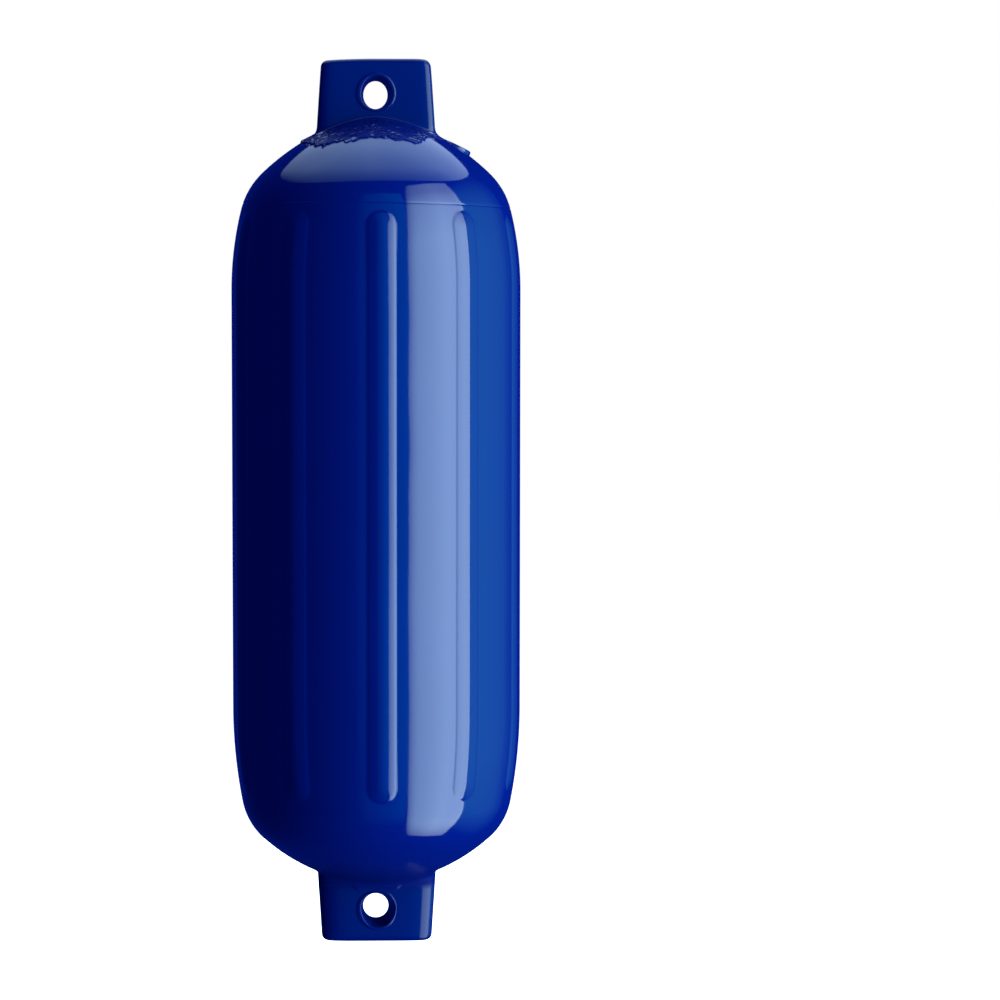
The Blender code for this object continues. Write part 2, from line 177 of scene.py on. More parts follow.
lowerLug = dict(upperLug)
lowerLug.update({
    "tipHalfWidth": 42.4,
    "squareness": 4.7,
    "tipDrop": (0.0, 0.0),
    "filletUp": (5.5, 1.8),
    "filletOut": (9.0, 1.8),
    "eyePlace": (-0.8, 314.4),
    "eyeWaist": (9.7, 9.3, 9.3),
    "eyeMouth": (12.9, 14.7, 12.4),
    "eyeShift": 1.6,
    "eyeFoot": (15.8, 17.0, 13.8),
    "eyeCrest": 2.0,
    "eyeCollar": 0.72,
    "eyeRows": (1, 31),
})

# Skin left by the mould round the root of the upper lug, and the torn edge where it ends
apron = {
    "thickness": 0.6,
    "curl": 0.8,  # how far the torn edge stands up
    "curlRun": 12.0,
    "streaks": (7.0, 0.46),  # how often the wrinkles change round the lug and away from it
    "beadGloss": 4.0,  # how much more the bead shines than the lug, and the torn skin less
    "tornGloss": -0.9,
    "beadHeight": 0.5,
    "beadWidth": 0.36,
    "beadApart": (3.4, 1.2),
    "beadOut": (4.6, 2.3),  # from the lug's wall to the middle of the bead, in front and at the sides
    "beadRun": (5.2, 1.8),
    "edge": (  # azimuth and radius of the torn edge
        (-180, 55), (-150, 60), (-125, 57), (-105, 58), (-88, 57), (-70, 59.5), (-55, 62), (-43, 66),
        (-39, 64.2), (-33, 63.5), (-30, 61.4), (-22, 60.6), (-16, 59.7), (-13, 57.4), (-8, 55.8),
        (0, 55.4), (10, 56.4), (14, 58.4), (18, 58.6), (21, 57.5), (26, 61.2), (30, 63.1), (34, 60.8),
        (40, 56.6), (47, 54), (58, 52.5), (75, 57), (105, 57), (130, 60), (150, 57), (165, 59), (180, 55),
    ),
    "edgeRagged": 0.6,
    "lumps": 0.32,
    "beadRows": 9,
    "skinRows": 26,
    "domeRows": 14,  # bare rows from the step out to the first level circle
    "stepOut": (0.2, 0.4, 0.65, 1.0),  # rows of the step down, from the torn edge outwards
    "stepShare": (0.85, 0.45, 0.12, 0.0),  # how much of the skin's height is left on them
    "bareSide": (62.0, 76.0),  # nothing is left on the side of the valve
}

valve = {
    "offset": 62.5,
    "tilt": 26.0,
    "proud": 1.2,
    "pocketRadius": 10.05,
    "faceRadius": 11.4,
    "edgeRound": 0.8,
    "sleeveLength": 28.9,
    "roomRadius": 12.9,  # the pocket widens here for the bush's collar and the plug's end
    "roomDepth": 37.0,
    "blockColumns": 12,  # half the columns of the block that the boss is cut from
    "blockRows": (5, 11),  # its rows, from the end of the bead's and beyond the torn edge's
    "footOut": 0.9,
    "bossRows": (  # distances of the boss's rings outside its face
        0.75, 0.6, 0.48, 0.38, 0.28, 0.18, 0.08, -0.02, -0.12, -0.25, -0.42, -0.62, -0.85, -1.1, -1.35,
    ),
    "draft": 7.0,  # how steeply the boss's side falls
    "blend": 0.25,
    "pocketRows": (0.0, 0.03, 0.1, 0.3, 0.6, 1.0),
}


# One end's outline from barrel to axis. An arc of radius R that starts at slope s0 lies at
# r = r0 - R (sin s0 - sin s), h = h0 + R (cos s - cos s0), and the crown's arc ends on the axis.
def endOutline(barrel, arcs, crown):
    slopes = np.radians([90.0, 90.0 - arcs[1], 90.0 - arcs[1] - arcs[3], arcs[4]])
    radius = [np.array([barrel])]
    height = [np.array([0.0])]
    for i in range(3):
        s = np.linspace(slopes[i], slopes[i + 1], 500)[1:]
        r0, h0 = radius[-1][-1], height[-1][-1]
        arc = arcs[2 * i] if i < 2 else r0 / (math.sin(slopes[2]) - math.sin(slopes[3]))
        radius.append(r0 - arc * (math.sin(slopes[i]) - np.sin(s)))
        height.append(h0 + arc * (np.cos(s) - math.cos(slopes[i])))
    turns = [np.linspace(slopes[i], slopes[i + 1], 500)[1:] for i in range(3)]
    slope = np.concatenate([slopes[:1]] + turns)
    height = np.concatenate(height)
    return np.concatenate(radius), height + crown - height[-1], slope


# The whole outline from the upper to the lower end of the axis, measured along its length
class Outline:
    def __init__(self):
        topR, topZ, topS = endOutline(skin["barrelRadius"][0], skin["topArcs"], skin["crown"][0])
        lowR, lowZ, lowS = endOutline(skin["barrelRadius"][1], skin["lowArcs"], skin["crown"][1])
        self.nr = np.concatenate([np.sin(topS[::-1]), np.sin(lowS)])
        self.nz = np.concatenate([np.cos(topS[::-1]), -np.cos(lowS)])
        self.r = np.maximum(np.concatenate([topR[::-1], lowR]), 0.0)
        self.z = np.concatenate([topZ[::-1], -lowZ])
        self.along = np.concatenate([[0.0], np.cumsum(np.hypot(np.diff(self.r), np.diff(self.z)))])
        self.half = len(topR)

    def at(self, along):
        return [np.interp(along, self.along, v) for v in (self.r, self.z, self.nr, self.nz)]

    # height of the upper or the lower dome at a distance from the axis, away from the middle
    def domeHeight(self, radius, upper):
        if upper:
            return np.interp(radius, self.r[:self.half], self.z[:self.half])
        return -np.interp(radius, self.r[self.half:][::-1], self.z[self.half:][::-1])

    def alongAtRadius(self, radius, upper):
        if upper:
            return np.interp(radius, self.r[:self.half], self.along[:self.half])
        return np.interp(radius, self.r[self.half:][::-1], self.along[self.half:][::-1])

    def alongAtHeight(self, height):
        return np.interp(-height, -self.z, self.along)


outline = Outline()


# Azimuths of the grid's columns: a sector for each rib, with closer columns on the rib's flanks
def columnAzimuths():
    side = np.array(skin["ribColumns"])
    sector = math.tau / skin["ribCount"]
    half = side / skin["barrelRadius"][0]
    one = np.concatenate([-half[:0:-1], half, [sector / 2]])
    phase = math.radians(skin["ribPhase"])
    every = np.concatenate([phase + k * sector + one for k in range(-1, skin["ribCount"] - 1)])
    every = np.sort(every)
    start = np.argmin(np.abs(every))
    return np.concatenate([every[start:], every[:start] + math.tau])


# A unit superellipse |X|^n + |Y|^n = 1 at even steps round the lug, from the middle of its front
def unitPlan(lug):
    turn = np.linspace(0.0, math.tau, 20001)
    n = lug["squareness"]
    a, b = lug["tipHalfWidth"], lug["halfThickness"]
    reach = (np.abs(np.sin(turn) / a) ** n + np.abs(np.cos(turn) / b) ** n) ** (-1.0 / n)
    x, y = reach * np.sin(turn), reach * np.cos(turn)
    length = np.concatenate([[0.0], np.cumsum(np.hypot(np.diff(x), np.diff(y)))])
    share = np.arange(skin["columns"]) / skin["columns"] * length[-1]
    azimuth = np.interp(share, length, turn)
    reach = (np.abs(np.sin(azimuth) / a) ** n + np.abs(np.cos(azimuth) / b) ** n) ** (-1.0 / n)
    return reach * np.sin(azimuth) / a, reach * np.cos(azimuth) / b, azimuth


# Height of a dome over a place in plan
def domeAt(x, y, upper=True):
    return outline.domeHeight(np.hypot(x, y), upper)


columnAzimuth = columnAzimuths()
for lug in (upperLug, lowerLug):
    lug["plan"] = unitPlan(lug)


# Half the width of a lug at a height: the tip's, and more by the taper's tangent times the way down
def lugHalfWidth(lug, height):
    return lug["tipHalfWidth"] + (lug["tip"] - height) * math.tan(math.radians(lug["taper"]))


# Outward direction in plan: the gradient of the superellipse, made one long
def planNormal(lug, halfWidth):
    n = lug["squareness"] - 1.0
    planX, planY = lug["plan"][:2]
    x = np.sign(planX) * np.abs(planX) ** n / halfWidth
    y = -np.sign(planY) * np.abs(planY) ** n / lug["halfThickness"]
    size = np.hypot(x, y)
    return x / size, y / size


# A value that goes from its front figure to its side figure as the plan normal turns
def frontToSide(pair, normalX):
    return between(pair[0], pair[1], normalX ** 2)


# How far the tip is lowered at a share of its half width: as the square on the left and as the
# twelfth power on the right, both easing in over the last 20 mm
def tipDrop(lug, across, height):
    left = lug["tipDrop"][0] * np.clip(-across, 0.0, 1.0) ** 2
    right = lug["tipDrop"][1] * np.clip(across, 0.0, 1.0) ** 12
    return (left + right) * easeBetween(lug["tip"] - 20.0, lug["tip"] - lug["round"], height)


# One lug from its tip to the end of the fillet at its root. Heights grow away from the fender's
# middle: scaled rings close the tip, a quarter circle rounds it, the wall widens downwards, and the
# fillet is a quarter ellipse that leaves the dome and ends upright on the wall.
def lugRows(lug, upper):
    b = lug["halfThickness"]
    tip = lug["tip"]
    planX, planY = lug["plan"][:2]
    rows = []

    def ring(height, inset, scale=1.0):
        x = (lugHalfWidth(lug, height) - inset) * planX * scale
        y = -(b - inset) * planY * scale
        lowered = tipDrop(lug, x / lug["tipHalfWidth"], height)
        rows.append(np.stack([x, y, height - lowered], axis=-1))

    for scale in lug["tipScales"]:
        ring(tip, lug["round"], scale)
    for angle in np.radians(np.linspace(90.0, 0.0, lug["roundRows"])):
        ring(tip - lug["round"] * (1.0 - math.sin(angle)), lug["round"] * (1.0 - math.cos(angle)))

    rootHeight = np.full(skin["columns"], tip)
    for _ in range(4):
        halfWidth = lugHalfWidth(lug, rootHeight)
        rootHeight = domeAt(halfWidth * planX, b * planY, upper)
    normalX, normalY = planNormal(lug, halfWidth)
    up = frontToSide(lug["filletUp"], normalX)
    out = frontToSide(lug["filletOut"], normalX)
    rootX, rootY = halfWidth * planX, -b * planY
    footHeight = domeAt(rootX + out * normalX, rootY + out * normalY, upper)
    wallTop = tip - lug["round"]
    wallEnd = np.maximum(rootHeight, footHeight) + up
    for share in shares(lug["wallRows"]):
        height = between(wallTop, wallEnd, share)
        lowered = tipDrop(lug, planX, height)
        rows.append(np.stack([lugHalfWidth(lug, height) * planX, -b * planY, height - lowered], axis=-1))

    startX, startY = rows[-1][:, 0], rows[-1][:, 1]
    for angle in np.radians(np.linspace(0.0, 90.0, lug["filletRows"] + 1))[1:]:
        away = out * (1.0 - math.cos(angle))
        slide = 1.0 - math.cos(angle)
        x = between(startX, rootX, slide) + away * normalX
        y = between(startY, rootY, slide) + away * normalY
        lift = (wallEnd - rootHeight) * (1.0 - math.sin(angle))
        rows.append(np.stack([x, y, domeAt(x, y, upper) + lift], axis=-1))
    return rows, (rootX, rootY, normalX, normalY, out)


# Radius of the torn edge at an azimuth: the chosen points joined up, with small ragged ripples
def edgeRadius(azimuth):
    degrees = (np.degrees(azimuth) + 180.0) % 360.0 - 180.0
    points = np.array(apron["edge"], float)
    base = np.interp(degrees, points[:, 0], points[:, 1])
    x, y = base * np.sin(azimuth), -base * np.cos(azimuth)
    return base + apron["edgeRagged"] * (ripples(x, y, 5.0, 3) + 0.7 * ripples(x, y, 2.4, 8))


# The skin round the upper lug in plan: a double bead at the root, then lumpy vinyl that curls up
# towards the torn edge, where the surface steps down to the dome
def apronRows(root):
    rootX, rootY, normalX, normalY, out = root
    rows = []

    def addRow(x, y):
        rows.append(np.stack([x, y, np.zeros_like(x)], axis=-1))

    beadOut = frontToSide(apron["beadOut"], normalX)
    run = frontToSide(apron["beadRun"], normalX)
    for share in shares(apron["beadRows"]):
        away = out + run * share
        addRow(rootX + away * normalX, rootY + away * normalY)
    lastX, lastY = rows[-1][:, 0], rows[-1][:, 1]
    edgeAzimuth = (upperLug["plan"][2] + columnAzimuth) / 2
    reach = edgeRadius(edgeAzimuth)
    edgeX, edgeY = reach * np.sin(edgeAzimuth), -reach * np.cos(edgeAzimuth)
    for share in shares(apron["skinRows"]):
        addRow(between(lastX, edgeX, share), between(lastY, edgeY, share))
    for beyond in apron["stepOut"]:
        x, y = edgeX + beyond * np.sin(edgeAzimuth), edgeY - beyond * np.cos(edgeAzimuth)
        addRow(x, y)
    meetX = skin["meetRadius"][0] * np.sin(columnAzimuth)
    meetY = -skin["meetRadius"][0] * np.cos(columnAzimuth)
    for share in shares(apron["domeRows"]):
        addRow(between(x, meetX, share), between(y, meetY, share))
    beadHalf = frontToSide(apron["beadApart"], normalX) / 2
    return rows, (edgeAzimuth, beadOut, beadHalf)


# 1 where the skin round the lug is left, 0 on the side of the valve
def apronSide(x, y):
    azimuth = np.degrees(np.arctan2(x, -y))
    low, high = apron["bareSide"]
    return 1.0 - easeBetween(low, high, azimuth) * (1.0 - easeBetween(180.0 - high, 180.0 - low, azimuth))


# Height of the skin over the dome: its thickness inside the torn edge, the two lines of the bead as
# narrow bells, and lumps that are ripples folded into creases
def apronLift(x, y, fromWall, beadOut, beadHalf, inside):
    side = apronSide(x, y)
    started = easeBetween(beadOut - beadHalf, beadOut + beadHalf, fromWall)
    lumps = 0.6 - np.abs(ripples(x, y, 9.0, 5)) + 0.5 * ripples(x, y, 3.6, 6)
    settled = easeBetween(beadOut + beadHalf + 1.0, beadOut + beadHalf + 6.0, fromWall)
    fromEdge = edgeRadius(np.arctan2(x, -y)) - np.hypot(x, y)
    curl = apron["curl"] * np.clip(1.0 - fromEdge / apron["curlRun"], 0.0, 1.0) ** 1.4
    lift = (apron["thickness"] * started + curl + apron["lumps"] * lumps * settled) * inside * side
    for place in (-beadHalf, beadHalf):
        off = fromWall - beadOut - place
        lift = lift + apron["beadHeight"] * np.exp(-(off / apron["beadWidth"]) ** 2)
    return lift


# Height of a rib over the barrel at a distance w from its middle line: the integral of the tangent
# of its slope from w out to its foot. Its ends are round like a fingertip.
def ribLift(azimuth, along, radius):
    phase = math.radians(skin["ribPhase"])
    sector = math.tau / skin["ribCount"]
    across = ((azimuth - phase + sector / 2) % sector - sector / 2) * radius
    slopes = np.array(skin["ribSlopes"])
    half = slopes[-1, 0]
    ends = outline.alongAtHeight(np.array(skin["ribEnds"]))
    beyond = np.maximum(ends[0] + half - along, along - (ends[1] - half))
    w = np.hypot(across, np.maximum(beyond, 0.0))
    steps = np.linspace(0.0, half, 1136)
    rise = np.tan(np.radians(np.interp(steps, slopes[:, 0], slopes[:, 1])))
    fallen = np.concatenate([[0.0], np.cumsum((rise[1:] + rise[:-1]) / 2 * np.diff(steps))])
    return np.interp(w, steps, fallen[-1] - fallen)


# The barrel and both shoulders: circles at chosen lengths along the outline, lifted along the
# outline's normal by the ribs and let in by the seam's narrow groove
def barrelRows():
    top = outline.alongAtRadius(skin["meetRadius"][0], True)
    low = outline.alongAtRadius(skin["meetRadius"][1], False)
    seam = outline.alongAtHeight(np.array(skin["seamHeight"]))
    ends = outline.alongAtHeight(np.array(skin["ribEnds"]))
    bends = outline.alongAtHeight(np.array(skin["bends"]))
    ribEnd = np.array([-0.8, 0, 0.6, 1.2, 1.8, 2.4, 3.0, 3.8, 4.8, 6, 7.4, 9, 10.8, 12.8, 15.5])
    seamRows = np.array([-1.6, -1.0, -0.65, -0.4, -0.2, 0, 0.2, 0.4, 0.65, 1.0, 1.6])
    along = np.concatenate([
        np.linspace(top, seam - 3.0, 9)[1:],
        seam + seamRows,
        [(seam + 1.6 + ends[0] - 0.8) / 2],
        ends[0] + ribEnd,
        np.linspace(ends[0] + 20.0, bends[0], 8),
        np.linspace(bends[0], bends[1], 12)[1:],
        np.linspace(bends[1], ends[1] - 20.0, 9)[1:],
        (ends[1] - ribEnd)[::-1],
        np.linspace(ends[1] + 0.8, low, 18)[1:],
    ])
    along, azimuth = np.broadcast_arrays(along[:, None], columnAzimuth[None, :])
    near = 1.0 - easeBetween(*skin["seamBlend"], np.abs(along - seam))
    tilt = skin["seamTilt"] * (np.sin(azimuth) - math.sin(math.radians(skin["seamTurn"])))
    shifted = along + tilt * near
    r, z, nr, nz = outline.at(shifted)
    groove = -skin["seamDepth"] * np.exp(-((along - seam) / skin["seamWidth"]) ** 2)
    lift = ribLift(azimuth, shifted, r) + groove
    r, z = r + lift * nr, z + lift * nz
    return np.stack([r * np.sin(azimuth), -r * np.cos(azimuth), z], axis=-1)


# The closed loop of grid points round a block of rows and columns, clockwise from its first corner
def blockLoop(rows, columns):
    top = [(rows[0], c) for c in columns[:-1]]
    right = [(r, columns[-1]) for r in rows[:-1]]
    bottom = [(rows[-1], c) for c in columns[:0:-1]]
    left = [(r, columns[0]) for r in rows[:0:-1]]
    loop = np.array(top + right + bottom + left)
    return loop[:, 0], loop[:, 1] % skin["columns"]


# Half of a lug's eye, from the loop on one face to the middle of the lug: over the flat face to the
# collar's foot, up to its crest, down a little to the mouth, round the mouth's edge and along a cone
# to the waist. Each oval is (sin^2 / a^2 + cos^2 / b^2) ^ -1/2 in its own half.
def eyeHalf(lug, loop, upper, faceSign):
    sign = 1.0 if upper else -1.0
    centreX, middle = lug["eyePlace"][0], sign * lug["eyePlace"][1]
    mouthX = centreX - faceSign * lug["eyeShift"]
    angle = np.arctan2(loop[:, 0] - centreX, loop[:, 2] - middle)
    sine, cosine = np.sin(angle), np.cos(angle)

    def oval(size, more=0.0):
        high = np.where(cosine * sign > 0.0, size[1], size[2]) + more
        return 1.0 / np.sqrt((sine / (size[0] + more)) ** 2 + (cosine / high) ** 2)

    def faceDepth(x, z):
        share = np.clip(np.abs(x) / lugHalfWidth(lug, sign * z), 0.0, 0.99)
        return lug["halfThickness"] * (1.0 - share ** lug["squareness"]) ** (1.0 / lug["squareness"])

    foot, mouth, waist = oval(lug["eyeFoot"]), oval(lug["eyeMouth"]), oval(lug["eyeWaist"])
    crest = np.minimum(oval(lug["eyeMouth"], lug["eyeCrest"]), 0.5 * (foot + mouth))
    rings = []

    def ring(x, depth, z):
        rings.append(np.stack([x, faceSign * depth, z], axis=-1))

    footX, footZ = centreX + foot * sine, middle + foot * cosine
    aboveFace = np.abs(loop[:, 1]) - faceDepth(loop[:, 0], loop[:, 2])
    for share in shares(7):
        x, z = between(loop[:, 0], footX, share), between(loop[:, 2], footZ, share)
        ring(x, faceDepth(x, z) + aboveFace * (1.0 - share) ** 2, z)
    for share in shares(7):
        reach = between(foot, crest, share)
        x, z = between(centreX, mouthX, share) + reach * sine, middle + reach * cosine
        ring(x, faceDepth(x, z) + lug["eyeCollar"] * easeBetween(0.0, 1.0, share), z)
    top = lug["eyeCollar"] - lug["eyeFall"]
    edge = lug["eyeEdge"]
    for share in shares(4):
        reach = between(crest, mouth + edge, share)
        x, z = mouthX + reach * sine, middle + reach * cosine
        ring(x, faceDepth(x, z) + lug["eyeCollar"] - lug["eyeFall"] * share ** 1.5, z)
    lipDepth = faceDepth(mouthX + mouth * sine, middle + mouth * cosine) + top
    for turn in np.radians((30.0, 60.0, 90.0)):
        reach = mouth + edge * (1.0 - math.sin(turn))
        ring(mouthX + reach * sine, lipDepth - edge * (1.0 - math.cos(turn)), middle + reach * cosine)
    for share in shares(6):
        reach = between(mouth, waist, share)
        x = between(mouthX, centreX, share) + reach * sine
        ring(x, (lipDepth - edge) * (1.0 - share), middle + reach * cosine)
    return rings


# Rings through a lug from the loop on its front to the loop on its back
def eyeRings(lug, front, back, upper):
    ahead = eyeHalf(lug, front, upper, -1.0)
    behind = eyeHalf(lug, back, upper, 1.0)
    return np.stack([front] + ahead + behind[-2::-1] + [back])


# Directions of the valve: its axis leaves the dome, and its own x runs downhill
def valveFrame():
    tilt = math.radians(valve["tilt"])
    axis = np.array([math.sin(tilt), 0.0, math.cos(tilt)])
    downhill = np.array([math.cos(tilt), 0.0, -math.sin(tilt)])
    foot = np.array([valve["offset"], 0.0, outline.domeHeight(valve["offset"], True)])
    return foot + axis * valve["proud"], axis, downhill, np.array([0.0, 1.0, 0.0])


# Points at (downhill, across, up) in the valve's own frame, for arrays of the three
def fromValve(u, v, w):
    origin, axis, downhill, across = valveFrame()
    return origin + u[..., None] * downhill + v[..., None] * across + w[..., None] * axis


# Height of the dome over the valve's own plane, found by steps that take off the miss over its climb
def domeOverValve(u, v):
    w = np.zeros_like(u)
    climb = 1.25
    for _ in range(12):
        p = fromValve(u, v, w)
        w = w - (p[..., 2] - domeAt(p[..., 0], p[..., 1])) / climb
    return w


# Rings from the loop on the dome to the foot of the boss, up its drafted side, over its round edge
# and down into its pocket, which is wider behind the bush's collar. The boss and the dome are joined
# by the smooth larger of their heights.
def bossRings(loop):
    origin, _, downhill, across = valveFrame()
    relative = loop - origin
    u, v = relative @ downhill, relative @ across
    angle = np.arctan2(v, u)
    reach = np.hypot(u, v)
    cosine, sine = np.cos(angle), np.sin(angle)
    rings = [loop]

    def ring(radius, height):
        rings.append(fromValve(radius * cosine, radius * sine, height + np.zeros_like(angle)))

    foot = valve["faceRadius"] + valve["footOut"]
    for share in shares(7):
        q = between(reach, foot, share)
        ring(q, domeOverValve(q * cosine, q * sine))
    face, soft = valve["faceRadius"], valve["edgeRound"]
    for q in valve["bossRows"]:
        dome = domeOverValve((face + q) * cosine, (face + q) * sine)
        edge = np.clip(q + soft, 0.0, soft)
        rounded = math.sqrt(max(soft ** 2 - edge ** 2, 0.0)) - soft
        top = rounded if q < 0.0 else -soft - q * valve["draft"]
        higher = 0.5 * (dome + top + np.sqrt((dome - top) ** 2 + valve["blend"] ** 2))
        ring(face + q, higher)
    for share in valve["pocketRows"]:
        ring(valve["pocketRadius"], between(higher, -valve["sleeveLength"], share))
    for depth in (valve["sleeveLength"], valve["roomDepth"]):
        ring(valve["roomRadius"], -depth)
    return np.stack(rings)


# The whole skin: one grid from the upper tip to the lower, with blocks cut out of it for the eyes and
# the boss, whose rings take their place
def buildSkin(material):
    lugTop, root = lugRows(upperLug, True)
    apronPart, (edgeAzimuth, beadOut, beadHalf) = apronRows(root)
    fillet = lugTop[-upperLug["filletRows"]:]
    rootX, rootY, normalX, normalY, _ = root
    apronPart = np.stack(apronPart)
    x, y = apronPart[..., 0], apronPart[..., 1]
    fromWall = (x - rootX) * normalX + (y - rootY) * normalY
    inside = np.ones_like(x)
    stepFirst = apron["beadRows"] + apron["skinRows"]
    stepLast = stepFirst + len(apron["stepOut"])
    inside[stepFirst:stepLast] = np.array(apron["stepShare"])[:, None]
    inside[stepLast:] = 0.0
    lift = apronLift(x, y, fromWall, beadOut, beadHalf, inside)
    apronPart[..., 2] = domeAt(x, y) + lift
    for row in fillet:
        away = (row[:, 0] - rootX) * normalX + (row[:, 1] - rootY) * normalY
        row[:, 2] += apronLift(row[:, 0], row[:, 1], away, beadOut, beadHalf, np.ones_like(away))

    lowRows, _ = lugRows(lowerLug, False)
    lastX, lastY = lowRows[-1][:, 0], lowRows[-1][:, 1]
    meetX = skin["meetRadius"][1] * np.sin(columnAzimuth)
    meetY = -skin["meetRadius"][1] * np.cos(columnAzimuth)
    for share in shares(15)[:-1]:
        u, v = between(lastX, meetX, share), between(lastY, meetY, share)
        lowRows.append(np.stack([u, v, domeAt(u, v, False)], axis=-1))
    lowPart = np.stack(lowRows)[::-1] * np.array([1.0, 1.0, -1.0])

    upperPart = np.stack(lugTop)
    grid = np.concatenate([upperPart, apronPart, barrelRows(), lowPart])
    rows, columns = grid.shape[:2]
    points = [grid.reshape(-1, 3)]
    place = np.zeros_like(grid)  # round the lug and away from it, for the wrinkles of the torn skin
    gloss = np.zeros(grid.shape[:2])
    tornSpan = slice(len(upperPart), len(upperPart) + stepLast - 1)
    away = fromWall[:stepLast - 1]
    place[tornSpan, :, 0] = np.sin(edgeAzimuth) * apron["streaks"][0]
    place[tornSpan, :, 1] = -np.cos(edgeAzimuth) * apron["streaks"][0]
    place[tornSpan, :, 2] = away * apron["streaks"][1]
    started = easeBetween(beadOut + beadHalf + 0.5, beadOut + beadHalf + 1.5, away)
    onBead = np.exp(-((away - beadOut) / (beadHalf + 0.6)) ** 4)
    gloss[tornSpan] = apron["tornGloss"] * started * apronSide(x[:stepLast - 1], y[:stepLast - 1])
    gloss[tornSpan] += apron["beadGloss"] * onBead * (1.0 - started)
    quads = gridQuads(rows, columns)
    keep = np.ones((rows - 1, columns), bool)

    def cut(rowSpan, columnSpan):
        wrapped = np.arange(columnSpan[0], columnSpan[1]) % columns
        keep[rowSpan[0]:rowSpan[1], wrapped] = False

    def addRings(rings, newQuads):
        first = sum(len(part) for part in points)
        points.append(rings.reshape(-1, 3))
        newQuads.append(gridQuads(rings.shape[0], rings.shape[1], first).reshape(-1, 4))
        return first

    more = []
    back = columns // 2
    for lug, upper in ((upperLug, True), (lowerLug, False)):
        m = lug["eyeColumns"]
        lugStart = len(lug["tipScales"]) + lug["roundRows"]
        rowSpan = [lugStart + lug["eyeRows"][0], lugStart + lug["eyeRows"][1]]
        if not upper:
            rowSpan = [rows - 1 - rowSpan[1], rows - 1 - rowSpan[0]]
        rowList = list(range(rowSpan[0], rowSpan[1] + 1))
        frontLoop = blockLoop(rowList, list(range(-m, m + 1)))
        backLoop = blockLoop(rowList, list(range(back + m, back - m - 1, -1)))
        addRings(eyeRings(lug, grid[frontLoop], grid[backLoop], upper), more)
        cut(rowSpan, (-m, m))
        cut(rowSpan, (back - m, back + m))

    apronStart = len(upperPart)
    m = valve["blockColumns"]
    firstRow, beyondStep = valve["blockRows"]
    side = int(np.argmin(np.abs(columnAzimuth - math.pi / 2)))
    rowSpan = [apronStart + apron["beadRows"] + firstRow, apronStart + stepLast + beyondStep]
    loop = blockLoop(list(range(rowSpan[0], rowSpan[1] + 1)), list(range(side - m, side + m + 1)))
    boss = bossRings(grid[loop])
    first = addRings(boss, more)
    cut(rowSpan, (side - m, side + m))

    total = sum(len(part) for part in points)
    bottom = fromValve(np.zeros(1), np.zeros(1), np.full(1, -valve["roomDepth"]))
    poles = np.array([[0.0, 0.0, upperLug["tip"]], [0.0, 0.0, -lowerLug["tip"]], bottom[0]])
    points.append(poles)
    lastRing = first + (boss.shape[0] - 1) * boss.shape[1] + np.arange(boss.shape[1])
    triangles = np.concatenate([
        fan(np.arange(columns), total),
        fan((rows - 1) * columns + np.arange(columns), total + 1, inward=True),
        fan(lastRing, total + 2, inward=True),
    ])
    allQuads = np.concatenate([quads[keep]] + more)
    points = np.concatenate(points)
    places = np.zeros_like(points)
    places[:rows * columns] = place.reshape(-1, 3)
    low = skin["rootDull"]
    fade = easeBetween(low[0], low[1], points[:, 2]) * (1.0 - easeBetween(low[2], low[3], points[:, 2]))
    glosses = skin["rootGloss"] * fade
    glosses[:rows * columns] += gloss.ravel()
    return addPiece("fender_skin", points, allQuads, triangles, material, places=places, gloss=glosses)


# The screw plug: head, slot and threaded shank with a cored end. Head, shank and core are diameters.
plug = {
    "head": 16.0,
    "headLength": 11.0,
    "recess": 1.0,
    "edge": 0.9,
    "shank": 10.0,
    "shankLength": 23.5,
    "fillet": 0.3,
    "pitch": 1.175,
    "threadDepth": 0.42,
    "threadStops": (0.6, 0.7),  # plain shank left at the head and at the end
    "endRound": 0.5,
    "core": 4.4,
    "coreDepth": 14.0,
    "coreRound": (0.25, 0.8),
    "slot": (12.0, 2.0, 3.0),  # length, width and depth
    "steps": 96,
}

# The bush that the plug screws into, with a collar inside the fender. All but the lengths are diameters.
bush = {
    "counterbore": 16.7,
    "outer": 19.5,
    "length": 32.3,
    "collar": (25.1, 3.0),  # across and thick
    "collarRound": (0.4, 0.6),
    "bore": 10.6,
    "threadDepth": 0.3,
    "threadStops": (0.6, 0.9),
    "floor": 12.3,
    "stepBevel": 0.4,
    "stepCorner": 0.3,
    "mouthRows": (-9.0, -6.0, -3.0),
    "edge": 0.35,
    "steps": 96,
}
rowsPerTurn = 8  # rows of mesh to each turn of a thread


# A profile of (radius, height) turned round the valve's axis. A thread adds its own change of radius.
def turnedRings(profile, steps, thread=None):
    profile = np.array(profile, float)
    angle = np.arange(steps) / steps * math.tau
    radius = np.repeat(profile[:, :1], steps, axis=1)
    height = np.repeat(profile[:, 1:], steps, axis=1)
    if thread is not None:
        radius = radius + thread(radius, height, angle[None, :])
    return fromValve(radius * np.cos(angle), -radius * np.sin(angle), height)


# Corners of a profile rounded: each (radius, height, round) becomes a short arc-like run of points
def roundedProfile(corners, steps=4):
    result = []
    count = len(corners)
    for i, (r, h, soft) in enumerate(corners):
        here = np.array([r, h])
        if soft == 0.0 or i in (0, count - 1):
            result.append(here)
            continue
        before = np.array(corners[i - 1][:2]) - here
        after = np.array(corners[i + 1][:2]) - here
        start = here + before / np.linalg.norm(before) * soft
        end = here + after / np.linalg.norm(after) * soft
        for t in np.linspace(0.0, 1.0, steps + 1):
            result.append((1 - t) ** 2 * start + 2 * t * (1 - t) * here + t ** 2 * end)
    return result


